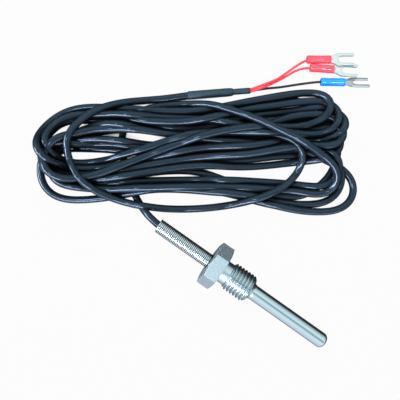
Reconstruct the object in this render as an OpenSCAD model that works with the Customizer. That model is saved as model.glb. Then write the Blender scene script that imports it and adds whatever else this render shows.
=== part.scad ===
// Screw-in resistance thermometer probe with a fixed three-wire cable.
// Row frame: +X along the probe towards its tip, +Z up, origin on the floor under the middle of the probe.
// The cable lies in a loose hank behind the probe and ends in three insulated fork terminals.

/* [Sheath] */
// Outer diameter of the sheath tube
sheath_d = 6.35; // [5:0.05:8]
// Wall thickness of the sheath tube
sheath_wall = 0.5; // [0.3:0.05:0.8]
// Length of sheath that stands out of the fitting
sheath_reach = 35.8; // [25:0.1:120]
// Corner radius of the closed tip
tip_round = 2; // [1.3:0.1:2.4]
// Thickness of the tip's end wall
tip_wall = 0.8; // [0.5:0.05:1.5]
// Length of sheath held inside the fitting, behind the nose
sheath_grip = 17.4; // [12:0.1:18]

/* [Process fitting] */
// Width across the flats of the hexagon
hex_af = 17; // [15:0.5:24]
// Thickness of the hexagon along the probe
hex_thick = 6; // [5:0.1:9]
// Depth of the chamfer that rounds the hexagon's corners
hex_chamfer = 0.45; // [0.4:0.05:1.2]
// Diameter of the relief neck in front of the hexagon
neck_d = 9.6; // [8.5:0.1:10.4]
// Length of the relief neck
neck_len = 3.3; // [1.5:0.1:5]
// Length of the cone from the neck up to the thread
neck_cone = 1; // [0.4:0.1:1.5]
// Outer diameter of the thread
thread_d = 12; // [11:0.1:14]
// Length of the thread at its full diameter
thread_len = 8.8; // [6:0.1:14]
// Length of the chamfer at the nose of the thread
nose_chamfer = 1; // [0.5:0.1:1.2]
// Radius of the fillet from the nose down to the sheath
nose_fillet = 1.7; // [1:0.1:1.7]

/* [Strain relief] */
// Outer diameter of the close-wound spring
spring_d = 6.15; // [5.6:0.05:6.25]
// Diameter of the spring's wire
spring_wire = 0.7; // [0.5:0.05:0.8]
// Free gap between one coil and the next
coil_gap = 0.025; // [0.02:0.005:0.3]
// Length of spring that stands out behind the hexagon
spring_reach = 25.9; // [15:0.1:40]
// Length of the ferrule that holds the spring's inner end
ferrule_len = 5.6; // [3:0.1:8]

/* [Sensing element] */
// Diameter of the ceramic sensing element
element_d = 2.8; // [1.5:0.1:3.4]
// Length of the ceramic sensing element
element_len = 14; // [8:0.5:15]
// Thickness of fill between the element and the tip's end wall
element_gap = 1.5; // [0.5:0.1:3]
// Length of fill behind the element
fill_back = 3; // [1:0.1:5]
// Diameter of each bare element lead
lead_d = 0.4; // [0.3:0.05:0.5]
// Length of each element lead
lead_len = 8; // [6:0.1:10]
// Length of each solder joint and its sleeve
joint_len = 4; // [3:0.1:5]
// Diameter of the joint that takes both red wires
red_joint_d = 1.8; // [1.6:0.05:1.9]
// Diameter of the joint on the black wire
black_joint_d = 1.2; // [1:0.05:1.3]
// Wall of the insulating sleeve on each joint
joint_wall = 0.2; // [0.1:0.05:0.22]

/* [Cable] */
// Outer diameter of the cable jacket
cable_d = 3.1; // [2.8:0.05:3.2]
// Length of jacket inside the sheath
jacket_grip = 8; // [6:0.1:10]
// Length of the potting at the sheath's open end
potting_len = 6; // [3:0.1:8]
// Diameter of each insulated wire
wire_d = 1; // [0.8:0.05:1.05]

/* [Hank] */
// Heading of the hank, turned from the probe's axis
lay_angle = 35.2; // [30:0.1:40]
// Distance from the spring's mouth back to the hank's centre
hank_back = 5.9; // [0:0.1:10]
// Distance from the probe's axis across to the hank's centre
hank_across = 33; // [32.5:0.1:50]
// Distance between the centres of the hank's two round ends
hank_span = 90.5; // [80:0.5:110]
// Radius of the hank's narrow end
narrow_end_r = 20; // [16:0.5:22]
// Radius of the hank's wide end
wide_end_r = 25; // [22:0.5:26]
// Height of the hank's crossing turns
hank_h = 12; // [7:0.1:14]

/* [Shrink sleeves] */
// Outer diameter of the sleeve on the jacket's end
large_sleeve_d = 3.6; // [3.5:0.05:4.2]
// Length of the sleeve on the jacket's end
large_sleeve_len = 19; // [12:0.5:24]
// Outer diameter of the sleeve on the three wires
small_sleeve_d = 2.6; // [2.5:0.05:3]
// Length of small sleeve that shows past the large one
small_sleeve_reach = 7.4; // [4:0.1:10]
// Length of small sleeve inside the large one
small_sleeve_grip = 2.5; // [1:0.1:4]
// Wall of both shrink sleeves
sleeve_wall = 0.2; // [0.1:0.05:0.22]

/* [Fork terminals] */
// Outer diameter of a terminal's insulation
insulation_d = 3.4; // [3:0.1:3.45]
// Length of a terminal's insulation
insulation_len = 10.2; // [8:0.1:12]
// Outer diameter of a terminal's crimp barrel
barrel_d = 2.4; // [2.2:0.05:2.6]
// Diameter of the conductor crimped in the barrel
conductor_d = 1.5; // [1:0.05:1.6]
// Distance from the insulation's mouth to the barrel
barrel_in = 3.5; // [2:0.1:5]
// Distance from the barrel's closed end to the front of the insulation
barrel_inset = 0.7; // [0.4:0.1:1]
// Thickness of metal that closes the barrel
barrel_floor = 1; // [0.5:0.1:1.5]
// Length of the taper from the barrel down to the plate
taper_len = 1.6; // [1:0.1:2.2]
// Length of a whole terminal
terminal_len = 20.2; // [18:0.1:24]
// Width of the fork across both prongs
fork_w = 5.7; // [5.2:0.1:6.4]
// Width of the fork's slot
slot_w = 3.2; // [3:0.1:3.7]
// Depth of the fork's slot
slot_depth = 6.8; // [5:0.1:7.5]
// Thickness of the fork's plate
fork_t = 0.8; // [0.5:0.05:0.85]
// Width of the plate where it leaves the barrel
fork_neck_w = 3.4; // [2.8:0.1:4]

/* [Hidden] */
$fn = 64;
slip = 0.03;            // working clearance between pieces that slide together
over = 1;               // how far a cutting body runs past the face it cuts
spring_sides = 6;       // facets round the spring's wire
spring_steps = 14;      // wire segments in one coil
cord_sides = 8;         // facets round a cord
arc_steps = 8;          // segments in the arc of a turned corner
nose_lip = 0.1;         // thickness of the fillet's edge on the sheath

// Stations along the probe's axis, from the spring's mouth to the tip
shank_len = neck_len + neck_cone + thread_len + nose_chamfer + nose_fillet;
probe_len = spring_reach + hex_thick + shank_len + sheath_reach;
axis_z = hex_af / 2;
mouth_x = -probe_len / 2;
hex_x = mouth_x + spring_reach;
neck_x = hex_x + hex_thick;
thread_x = neck_x + neck_len + neck_cone;
nose_x = thread_x + thread_len + nose_chamfer;
free_x = nose_x + nose_fillet;
tip_x = free_x + sheath_reach;
sheath_x = free_x - sheath_grip;
bore_r = sheath_d / 2 - sheath_wall;
fill_end_x = tip_x - tip_wall;
element_x = fill_end_x - element_gap - element_len;
fill_x = element_x - fill_back;
joint_x = element_x - lead_len - joint_len;
jacket_x = sheath_x + jacket_grip;
spring_bore_r = (spring_d / 2 - spring_wire) * cos(180 / spring_steps);

// Where the wires, joints and leads sit across the sheath's bore
red_wire_y = 0.8;
black_wire_y = -0.9;
red_joint_y = red_joint_d / 2;
black_joint_y = -black_joint_d * 1.1;
lead_y = element_d / 2 - lead_d - 0.1;

// Hank outline in its own frame: two round ends and the straight walls that touch both
lead_entry_run = 24;
narrow_end = [-46, -0.5];
wide_end = narrow_end + [hank_span, -1];
function heading(v) = atan2(v[1], v[0]);
function ray(a) = [cos(a), sin(a)];
lobes = wide_end - narrow_end;
wall_spread = acos((narrow_end_r - wide_end_r) / norm(lobes));
back_normal = ray(heading(lobes) + wall_spread);
front_normal = ray(heading(lobes) - wall_spread);
front_corner = narrow_end + narrow_end_r * front_normal;
front_run = wide_end + wide_end_r * front_normal - front_corner;
lead_entry = front_corner + lead_entry_run * front_run / norm(front_run);

// The cable's route between the probe and the hank, and from the hank to the shrink sleeve
lead_points = [[-17.4, -27.6, 7.6], [-20.6, -24.2, 5.6]];
lead_entry_z = 3.6;
tail_points = [[-24, 22.2, 1.6], [-17, 22.5, 1.6], [-10, 23.2, 1.7]];
tail_seat = [10, 9, 3.6];

// Shrink sleeves: start, heading and resting height
sleeve_start = [-2, 24.4];
sleeve_heading = 4.5;
sleeve_z = large_sleeve_d / 2;
jacket_end = large_sleeve_len - small_sleeve_grip - 0.5;
sleeves_end = large_sleeve_len + small_sleeve_reach;

// Terminals: x, y, heading, roll and pitch
red_upper_place = [48.4, 39.7, 0, -12, 0];
red_lower_place = [49.8, 36.2, -4, -12, 0];
blue_place = [54.3, 30.2, -1.5, -38, 2];
prong_w = (fork_w - slot_w) / 2;
fork_root_w = barrel_d - 0.3;
barrel_end = insulation_len - barrel_inset;
slot_x = terminal_len - slot_depth + slot_w / 2;

// Wires in the bundle and the route of each to its terminal
red_upper_seat = [wire_d * 0.51, wire_d * 0.29];
red_lower_seat = [-wire_d * 0.51, wire_d * 0.29];
black_seat = [0, -wire_d * 0.58];
red_upper_points = [[28.8, 28.4, 2.6], [32.5, 29.8, 2.6], [36.3, 31.5, 2.5], [39.6, 33.8, 2.3],
    [42.9, 36.2, 2.1], [46, 38.2, 1.9], [48.4, 39.3, 1.8]];
red_lower_points = [[27.8, 27, 2.1], [31.1, 28.1, 1.9], [35.4, 29.9, 1.8], [39.7, 32.1, 1.7],
    [43, 34.1, 1.6], [46.3, 35.6, 1.6], [49.8, 36.1, 1.7]];
black_points = [[28.8, 27.2, 0.9], [32, 27.7, 0.7], [36.4, 28.1, 0.6], [41.8, 28.9, 0.6],
    [46.1, 29.5, 0.8], [51, 30, 1.4], [54.3, 30.2, 1.7]];

function unit(v) = v / norm(v);
function arc(c, r, from, to) = [for (k = [0 : arc_steps]) c + r * ray(from + (to - from) * k / arc_steps)];
function turned(p, a) = [p[0] * cos(a) - p[1] * sin(a), p[0] * sin(a) + p[1] * cos(a)];
function tall(p, z) = [p[0], p[1], z];
function from_lay(p) = tall([mouth_x - hank_back, hank_across] + turned(p, lay_angle), p[2]);
function in_sleeve(x, y, z) = tall(sleeve_start + turned([x, y], sleeve_heading), sleeve_z + z);
function in_terminal(t, x) = [t[0] + x * cos(t[4]) * cos(t[2]), t[1] + x * cos(t[4]) * sin(t[2]),
    insulation_d / 2 + x * sin(t[4])];
function facing(p, i, first, last) = i == 0 ? first : i == len(p) - 1 ? last
    : unit(unit(p[i + 1] - p[i]) + unit(p[i] - p[i - 1]));
function ring(c, along, side, r, n) = [for (k = [0 : n - 1])
    c + r * (cos(360 * k / n) * side + sin(360 * k / n) * cross(along, side))];
function skin(rings, n) = concat(
    [for (i = [0 : rings - 2], k = [0 : n - 1]) each let(a = i * n + k, b = i * n + (k + 1) % n)
        [[a, a + n, b], [b, a + n, b + n]]],
    [[for (k = [0 : n - 1]) k]],
    [[for (k = [0 : n - 1]) rings * n - 1 - k]]);

// A round body along the probe's axis, from station x
module on_axis(x, y = 0, z = 0) {
    translate([x, y, axis_z + z]) rotate([0, 90, 0]) children();
}

module rod(x, len, d, y = 0, z = 0) {
    on_axis(x, y, z) cylinder(h = len, d = d);
}

module cone(x, len, d_back, d_front) {
    on_axis(x) cylinder(h = len, d1 = d_back, d2 = d_front);
}

// A turned body: its outline gives radius and station, and closes along the axis
module turned_body(outline, x, end_x) {
    on_axis(0) rotate_extrude() polygon(concat([[0, x]], outline, [[0, end_x]]));
}

// A rod whose far end has a rounded corner
module blunt_rod(x, end_x, r, corner) {
    turned_body(concat([[r, x]], arc([r - corner, end_x - corner], corner, 0, 90)), x, end_x);
}

module lay_frame() {
    translate([mouth_x - hank_back, hank_across, 0]) rotate([0, 0, lay_angle]) children();
}

module terminal_frame(t) {
    lay_frame() translate([t[0], t[1], insulation_d / 2]) rotate([t[3], -t[4], t[2]]) rotate([0, 90, 0]) children();
}

// One cord swept along its own route, with a ring at each point
module cord(points, d, first, last) {
    rings = [for (i = [0 : len(points) - 1]) let(t = facing(points, i, first, last))
        each ring(points[i], t, unit(cross([0, 0, 1], t)), d / 2, cord_sides)];
    polyhedron(points = rings, faces = skin(len(points), cord_sides));
}

module sheath() color("lightsteelblue") difference() {
    blunt_rod(sheath_x, tip_x, sheath_d / 2, tip_round);
    blunt_rod(sheath_x - over, fill_end_x, bore_r, tip_round - sheath_wall);
}

module hexagon() intersection() {
    on_axis(hex_x) rotate([0, 0, 30]) cylinder(h = hex_thick, d = hex_af / cos(30), $fn = 6);
    union() {
        cone(hex_x, hex_chamfer, hex_af - 0.4, hex_af / cos(30) + 0.2);
        rod(hex_x + hex_chamfer, hex_thick - 2 * hex_chamfer, hex_af / cos(30) + 0.2);
        cone(neck_x - hex_chamfer, hex_chamfer, hex_af / cos(30) + 0.2, hex_af - 0.4);
    }
}

// Neck, thread, chamfered nose and the fillet down to the sheath
module shank() {
    lip_r = sheath_d / 2 + nose_lip;
    turned_body(concat(
        [[neck_d / 2, hex_x], [neck_d / 2, neck_x + neck_len], [thread_d / 2, thread_x],
            [thread_d / 2, thread_x + thread_len], [thread_d / 2 - nose_chamfer, nose_x]],
        arc([lip_r + nose_fillet, free_x], nose_fillet, 270, 180)), hex_x, free_x);
}

module process_fitting() color("silver") difference() {
    union() {
        hexagon();
        shank();
    }
    rod(hex_x - over, free_x - hex_x + 2 * over, sheath_d);
}

module strain_relief_spring() {
    mean_r = (spring_d - spring_wire) / 2;
    pitch = spring_wire + coil_gap;
    edge = spring_wire / 2 * cos(180 / spring_sides);
    start_x = mouth_x + edge;
    coils = (sheath_x - slip - edge - start_x) / pitch;
    steps = round(coils * spring_steps);
    slope = unit([pitch, 2 * PI * mean_r, 0]);
    rings = [for (i = [0 : steps]) let(a = 360 * coils * i / steps, out = [0, cos(a), sin(a)])
        each ring([start_x + pitch * coils * i / steps, 0, axis_z] + mean_r * out,
            [slope[0], -slope[1] * sin(a), slope[1] * cos(a)], out, spring_wire / 2, spring_sides)];
    color("gainsboro") polyhedron(points = rings, faces = skin(steps + 1, spring_sides));
}

module spring_ferrule() color("darkkhaki") difference() {
    rod(sheath_x - ferrule_len, ferrule_len, 2 * (spring_bore_r - slip));
    rod(sheath_x - ferrule_len - over, ferrule_len + 2 * over, cable_d + 2 * slip);
}

module rtd_element() color("white") rod(element_x, element_len, element_d);

module element_lead(y) color("gainsboro") rod(element_x - lead_len, lead_len, lead_d, y);

module thermal_fill() color("beige") difference() {
    blunt_rod(fill_x, fill_end_x, bore_r, tip_round - sheath_wall);
    rod(element_x, element_len, element_d);
    for (y = [-lead_y, lead_y]) rod(fill_x - over, fill_back + 2 * over, lead_d, y);
}

module potting_plug() color("dimgray") difference() {
    rod(sheath_x, potting_len, 2 * bore_r);
    rod(sheath_x - over, potting_len + 2 * over, cable_d + 2 * slip);
}

module solder_joint(y, d) color("silver") rod(joint_x, joint_len, d, y);

module joint_sleeve(y, d) color("ivory") difference() {
    rod(joint_x, joint_len, d + 2 * joint_wall, y);
    rod(joint_x - over, joint_len + 2 * over, d, y);
}

module inner_wire(y, z, c) color(c) rod(jacket_x, joint_x - jacket_x, wire_d, y, z);

module cable_lead_in() {
    inside = [[jacket_x, 0, axis_z], [mouth_x, 0, axis_z]];
    outside = [for (p = lead_points) from_lay(p)];
    entry = [from_lay(tall(lead_entry, lead_entry_z))];
    inward = turned(-front_normal, lay_angle);
    color("darkslategray") cord(concat(inside, outside, entry), cable_d, [-1, 0, 0], tall(inward, 0));
}

module cable_hank() color("darkslategray") lay_frame() {
    linear_extrude(hank_h) {
        translate(narrow_end) circle(r = narrow_end_r);
        translate(wide_end) circle(r = wide_end_r);
        polygon([narrow_end + narrow_end_r * back_normal, wide_end + wide_end_r * back_normal,
            wide_end + wide_end_r * front_normal, front_corner]);
    }
    translate([tail_points[0][0] - tail_seat[0], tail_points[0][1] + cable_d / 2 + 0.3 - tail_seat[1], 0])
        cube(tail_seat);
}

module cable_tail() {
    route = concat(tail_points, [in_sleeve(0, 0, 0), in_sleeve(jacket_end / 2, 0, 0), in_sleeve(jacket_end, 0, 0)]);
    color("darkslategray") lay_frame() cord(route, cable_d, [1, 0, 0], tall(ray(sleeve_heading), 0));
}

module sleeve(x, len, d) {
    color("black") lay_frame() translate(in_sleeve(x, 0, 0)) rotate([0, 90, sleeve_heading]) difference() {
        cylinder(h = len, d = d);
        translate([0, 0, -over]) cylinder(h = len + 2 * over, d = d - 2 * sleeve_wall);
    }
}

module wire(seat, points, t, c) {
    route = concat([in_sleeve(jacket_end, seat[0], seat[1]), in_sleeve(sleeves_end, seat[0], seat[1])],
        points, [in_terminal(t, barrel_in)]);
    last = unit(in_terminal(t, barrel_in) - in_terminal(t, 0));
    color(c) lay_frame() cord(route, wire_d, tall(ray(sleeve_heading), 0), last);
}

module conductor(t) color("chocolate") terminal_frame(t)
    translate([0, 0, barrel_in]) cylinder(h = barrel_end - barrel_floor - barrel_in, d = conductor_d);

// Crimp barrel and flat fork, in one pressed piece
module fork(t) color("gainsboro") terminal_frame(t) {
    difference() {
        union() {
            translate([0, 0, barrel_in]) cylinder(h = barrel_end - barrel_in, d = barrel_d);
            translate([0, 0, barrel_end]) cylinder(h = taper_len, d1 = barrel_d, d2 = fork_t);
        }
        translate([0, 0, barrel_in - over])
            cylinder(h = barrel_end - barrel_floor - barrel_in + over, d = conductor_d);
    }
    rotate([0, -90, 0]) linear_extrude(fork_t, center = true) fork_outline();
}

module fork_outline() difference() {
    union() {
        translate([barrel_end, -fork_root_w / 2]) square([slot_x - barrel_end, fork_root_w]);
        translate([insulation_len, -fork_neck_w / 2]) square([slot_x - insulation_len, fork_neck_w]);
        translate([slot_x, 0]) circle(d = fork_w);
        for (s = [-1, 1]) translate([0, s * (fork_w - prong_w) / 2]) {
            translate([slot_x, -prong_w / 2]) square([terminal_len - prong_w / 2 - slot_x, prong_w]);
            translate([terminal_len - prong_w / 2, 0]) circle(d = prong_w);
        }
    }
    translate([slot_x, 0]) circle(d = slot_w);
    translate([slot_x, -slot_w / 2]) square([slot_depth + over, slot_w]);
}

module insulation(t, c) color(c) terminal_frame(t) difference() {
    rim = 0.35;
    union() {
        cylinder(h = rim, d1 = insulation_d - 2 * rim, d2 = insulation_d);
        translate([0, 0, rim]) cylinder(h = insulation_len - rim, d = insulation_d);
    }
    translate([0, 0, -over]) cylinder(h = insulation_len + 2 * over, d = barrel_d + 0.02);
}

sheath();
process_fitting();
strain_relief_spring();
spring_ferrule();
rtd_element();
element_lead(lead_y);  // element_lead_red_side
element_lead(-lead_y);  // element_lead_black_side
thermal_fill();
potting_plug();
solder_joint(red_joint_y, red_joint_d);  // solder_joint_red
solder_joint(black_joint_y, black_joint_d);  // solder_joint_black
joint_sleeve(red_joint_y, red_joint_d);  // joint_sleeve_red
joint_sleeve(black_joint_y, black_joint_d);  // joint_sleeve_black
inner_wire(red_wire_y, wire_d / 2, "crimson");  // inner_wire_red_upper
inner_wire(red_wire_y, -wire_d / 2, "crimson");  // inner_wire_red_lower
inner_wire(black_wire_y, 0, "black");  // inner_wire_black
cable_lead_in();
cable_hank();
cable_tail();
sleeve(0, large_sleeve_len, large_sleeve_d);  // shrink_sleeve_large
sleeve(large_sleeve_len - small_sleeve_grip, small_sleeve_grip + small_sleeve_reach, small_sleeve_d);  // shrink_sleeve_small
wire(red_upper_seat, red_upper_points, red_upper_place, "crimson");  // wire_red_upper
wire(red_lower_seat, red_lower_points, red_lower_place, "crimson");  // wire_red_lower
wire(black_seat, black_points, blue_place, "black");  // wire_black
conductor(red_upper_place);  // conductor_red_upper
conductor(red_lower_place);  // conductor_red_lower
conductor(blue_place);  // conductor_black
fork(red_upper_place);  // fork_red_upper
fork(red_lower_place);  // fork_red_lower
fork(blue_place);  // fork_blue
insulation(red_upper_place, "crimson");  // insulation_red_upper
insulation(red_lower_place, "crimson");  // insulation_red_lower
insulation(blue_place, "royalblue");  // insulation_blue
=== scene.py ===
"""Screw-in resistance thermometer probe with its sheath, fitting, spring, cable, wires and fork terminals."""

import math

import bpy
import numpy as np
from mathutils import Matrix, Vector


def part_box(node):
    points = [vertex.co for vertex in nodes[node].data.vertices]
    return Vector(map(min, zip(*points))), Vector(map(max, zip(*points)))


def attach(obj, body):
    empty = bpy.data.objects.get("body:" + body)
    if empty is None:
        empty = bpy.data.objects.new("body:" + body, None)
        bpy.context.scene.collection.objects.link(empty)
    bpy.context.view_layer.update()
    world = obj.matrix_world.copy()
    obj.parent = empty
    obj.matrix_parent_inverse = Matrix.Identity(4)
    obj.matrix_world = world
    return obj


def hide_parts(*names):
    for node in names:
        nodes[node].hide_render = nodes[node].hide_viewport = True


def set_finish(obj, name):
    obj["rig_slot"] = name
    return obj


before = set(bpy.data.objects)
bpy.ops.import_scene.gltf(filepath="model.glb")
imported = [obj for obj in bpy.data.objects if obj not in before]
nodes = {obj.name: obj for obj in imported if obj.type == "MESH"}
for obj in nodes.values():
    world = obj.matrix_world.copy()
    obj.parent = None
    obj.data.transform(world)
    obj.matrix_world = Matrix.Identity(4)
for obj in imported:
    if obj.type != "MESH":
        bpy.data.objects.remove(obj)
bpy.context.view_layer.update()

MM = 0.001

# ---------------------------------------------------------------- where things are

spring_low, spring_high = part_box("strain_relief_spring")
sheath_low, sheath_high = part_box("sheath")
fitting_low, fitting_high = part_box("process_fitting")

# Along the probe, in metres: the spring's mouth, the hexagon's back, the fitting's nose and the sheath's tip
MOUTH_X = spring_low.x
HEX_X = fitting_low.x
FREE_X = fitting_high.x
TIP_X = sheath_high.x
AXIS_Z = (sheath_low.z + sheath_high.z) / 2
SHEATH_R = (sheath_high.z - sheath_low.z) / 2
HEX_FLATS = fitting_high.z - fitting_low.z

# The hank has a frame of its own, turned from the probe's axis. Its points and the pieces' sizes are written
# in millimetres. Only the camera's height, the studio and the finishes are in metres
LAY_ANGLE = math.radians(35.2)
LAY_ORIGIN = (MOUTH_X - 5.9 * MM, 33 * MM)
lay_frame = Matrix.Translation((*LAY_ORIGIN, 0)) @ Matrix.Rotation(LAY_ANGLE, 4, "Z")

CABLE_D = 3.1
WIRE_D = 1.0
SLEEVE_START = (-2, 24.4)
SLEEVE_HEADING = math.radians(4.5)
LARGE_SLEEVE_D = 3.6
LARGE_SLEEVE_LEN = 19
SMALL_SLEEVE_D = 2.6
SMALL_SLEEVE_REACH = 7.4
SMALL_SLEEVE_GRIP = 2.5
JACKET_END = LARGE_SLEEVE_LEN - SMALL_SLEEVE_GRIP - 0.5
SLEEVES_END = LARGE_SLEEVE_LEN + SMALL_SLEEVE_REACH
WIRES_TOGETHER = 4
INSULATION_D = 3.4
CONDUCTOR_IN = 3.5
AXIS_HOLE = 0.01

# Each terminal's place in the hank's frame: x, y, then heading, roll and pitch in degrees
TERMINALS = {
    "red_upper": (48.4, 39.7, 0, -12, 0),
    "red_lower": (49.8, 36.2, -4, -12, 0),
    "blue": (54.3, 30.2, -1.5, -38, 2),
}


def in_row(points):
    """Points of the hank's frame, in millimetres, as metres in the row's frame."""
    p = np.asarray(points, float) * MM
    c, s = math.cos(LAY_ANGLE), math.sin(LAY_ANGLE)
    x = LAY_ORIGIN[0] + c * p[:, 0] - s * p[:, 1]
    y = LAY_ORIGIN[1] + s * p[:, 0] + c * p[:, 1]
    return np.stack([x, y, p[:, 2]], 1)


def on_probe(back):
    """A point on the probe's axis, that far inside the spring's mouth, in the hank's frame."""
    v = Vector((MOUTH_X + back * MM, 0, AXIS_Z))
    return tuple(lay_frame.inverted() @ v / MM)


def in_sleeve(along, side=0.0, up=0.0):
    """A point that far along the shrink sleeves' axis and off it, in the hank's frame."""
    c, s = math.cos(SLEEVE_HEADING), math.sin(SLEEVE_HEADING)
    x, y = SLEEVE_START
    return (x + c * along - s * side, y + s * along + c * side, LARGE_SLEEVE_D / 2 + up)


def terminal_frame(name):
    """A terminal's own frame in metres: X along it from the insulation's mouth, Z up from the fork."""
    x, y, heading, roll, pitch = TERMINALS[name]
    return (lay_frame @ Matrix.Translation((x * MM, y * MM, INSULATION_D / 2 * MM))
            @ Matrix.Rotation(math.radians(heading), 4, "Z")
            @ Matrix.Rotation(math.radians(-pitch), 4, "Y")
            @ Matrix.Rotation(math.radians(roll), 4, "X"))


# ---------------------------------------------------------------- camera

# The point that the camera looks down on, in the hank's frame, then its height in metres and its lens
CAMERA_OVER = (3, -20)
CAMERA_UP = 0.2015
CAMERA_LENS = 42.3


def add_camera():
    """Looks straight down on a point of the hank's frame, with the hank level in the picture."""
    data = bpy.data.cameras.new("camera")
    data.lens = CAMERA_LENS
    data.sensor_width = 36
    data.clip_start = 0.01
    camera = bpy.data.objects.new("camera", data)
    x, y, _ = in_row([(*CAMERA_OVER, 0)])[0]
    camera.location = (x, y, CAMERA_UP)
    camera.rotation_euler = (0, 0, LAY_ANGLE)
    bpy.context.scene.collection.objects.link(camera)
    bpy.context.scene.camera = camera


add_camera()

# ---------------------------------------------------------------- mesh helpers


def add_mesh(name, points, faces, crease=None):
    """A smooth-shaded piece, with sharp edges where its faces turn by more than the crease, in degrees."""
    mesh = bpy.data.meshes.new(name)
    mesh.from_pydata([tuple(p) for p in points], [], faces)
    mesh.validate()
    mesh.shade_smooth()
    if crease is not None:
        mesh.set_sharp_from_angle(angle=math.radians(crease))
    piece = bpy.data.objects.new(name, mesh)
    bpy.context.scene.collection.objects.link(piece)
    return piece


def grid_faces(rows, columns):
    """Quads between rings of points that each close on themselves."""
    faces = []
    for start in range(0, (rows - 1) * columns, columns):
        for k in range(columns):
            after = (k + 1) % columns
            faces.append((start + k, start + columns + k, start + columns + after, start + after))
    return faces


def turned_points(profile, radius_at, columns):
    """Rings along X: profile gives (x, r), and radius_at(x, r, angle) the true radius at each angle."""
    angles = np.arange(columns) * 2 * math.pi / columns
    rings = []
    for x, r in profile:
        rr = radius_at(x, r, angles)
        rings.append(np.stack([np.full(columns, x), rr * np.cos(angles), rr * np.sin(angles)], 1))
    return np.concatenate(rings)


def turned(name, profile, columns=96, radius_at=None, crease=30):
    """A piece turned about X; its profile runs once round the cut wall and ends where it began."""
    radius_at = radius_at or (lambda x, r, a: np.full(len(a), r))
    points = turned_points(profile, radius_at, columns)
    return add_mesh(name, points, grid_faces(len(profile), columns), crease)


def arc(cx, cr, radius, start, end, steps=8):
    """Points of an arc in the (x, r) plane, angles in degrees from +x."""
    return [(cx + radius * math.cos(math.radians(a)), cr + radius * math.sin(math.radians(a)))
            for a in np.linspace(start, end, steps + 1)]


def place(piece, matrix):
    """Moves a piece's own points, so that its object stays at the frame's origin."""
    piece.data.transform(matrix)
    return piece


def metres(profile):
    """A profile given in millimetres."""
    return [(x * MM, r * MM) for x, r in profile]


probe_axis = Matrix.Translation((0, 0, AXIS_Z))

# ---------------------------------------------------------------- the cable's route

# Out of the spring, down to the floor and under the hank
LEAD_POINTS = ((-17.4, -27.6, 7.6), (-20.6, -24.2, 5.6), (-23.4, -21.3, 3.6))
UNDER_POINTS = ((-27, -11.5, 1.6), (-29.5, -3, 1.6), (-30.5, 5.5, 1.7), (-28.5, 13, 2), (-24, 17, 3.5))

# The hank's turns, in the order in which the cable runs through them. A turn gives its far run, as y at the
# stations from left to right, then its right end as x, y and radius, its near run at the stations from right
# to left, its left end, and the layers of these four stretches
STATIONS = (-51, -39, -18, 3, 24, 45)
TURNS = (
    ((19.5, 20.5, 14.5, 3), (61, -11, 8),
     (-16.5, -15, -14.5, -15, -15.5), (-61, -4.5, 10), (10, 9, 5, 2)),
    ((5.8, 9.6, 15, 16.5, 19.5, 23.2), (62, 1.5, 20.5),
     (-19.5, -15.6, -8, -7.5, -10.5), (-61, -3, 9), (0, 0, 0, 0)),
    ((5.4, 9, 11, 12.3, 13.6, 14.2), (62, 6, 8),
     (-0.5, -2.8, -4, -6.4, -10.5), (-61.5, -4.5, 8), (0, 0, 0, 0)),
    ((1.8, 1.8, 0, -0.5, 0.5, 2), (64, -11.5, 10.5),
     (-22, -18, -16, -15.5, -19.4), (-65.8, -8, 13), (3, 3, 2, 2)),
    ((4.3, 5.5, 3, 5, 6.4, 9), (63.5, 4.5, 7.2),
     (-3.8, -6, -5.5, -8, -11.5), (-62.5, -3, 8.5), (3, 4, 3, 4)),
    ((3.6, 3.8, 1.6, 2, 1.8, 2.2), (62, -7, 8.6),
     (-13.5, -12, -11.5, -11.8, -13), (-61, -4, 10.5), (3, 4, 3, 2)),
    ((6.8, 11, 9.5, 7, 9, 16), (64, 8.6, 7.4),
     (2.5, -1, -2, -5, -9.5), (-62.5, 2, 12.5), (4, 5, 5, 5)),
    ((13.8, 13.4, 11.5, 10, 15.5, 18), (64.8, 12.3, 7.2),
     (5.2, 2.5, 2, -2.5, -6.6), (-63.8, 5.5, 13), (5, 6, 6, 7)),
    ((18.9, 19.6, 17.5, 17.5, 21.5, 25), (59, 19.5, 6.8),
     (10.7, 10.3, 6.4, -1, -9.5), (-61, -3, 10), (6, 8, 8, 5)),
    ((6.2, 9.8, 8.6, 6, 4, 1.5), (69.5, -15.5, 9.5),
     (-24.5, -19.5, -15, -15, -14.9), (-64, 1, 14), (4, 2, 2, 3)),
    ((14.7, 15.4, 12.5, 13, 18, 21.2), (62.5, 14.8, 7.4),
     (7.6, 8.5, 8, 2, -3.7), (-60.4, 4.9, 10.6), (6, 7, 7, 7)),
)

# The last, wide loop over the hank: x, y and layer
LOOP_POINTS = (
    (-38.5, 15.5, 7), (-17.5, 14.5, 7), (3, 14, 6), (23.5, 10.5, 6), (37, 6.5, 7), (42.5, 4.5, 8),
    (45.5, 1, 9), (46.5, -3.5, 10), (45, -8, 10), (41, -12.5, 10), (35, -16.5, 10), (27, -19.5, 9),
    (19.5, -21.5, 8), (11, -23, 5), (-5.5, -24, 3), (-20, -23, 4), (-32, -20, 7), (-43, -14.5, 9),
    (-50, -6, 9), (-52, 0.5, 9), (-50.5, 7, 9), (-45.5, 13.5, 9), (-38, 18.5, 8),
)
# Down from the hank and into the large shrink sleeve
TAIL_POINTS = ((-29.5, 21.2, 5), (-24, 22.2, 2.6), (-17, 22.5, 1.7), (-10, 23.2, 1.7))

# Angles of the points round a turn's ends, and how far the left ends are drawn out
RIGHT_END_ANGLES = (70, 35, 0, -35, -70)
LEFT_END_ANGLES = (240, 210, 180, 145, 112)
LEFT_END_STRETCH = 1.1
IN_SPRING = (25, 18, 12, 6, 0)

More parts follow.
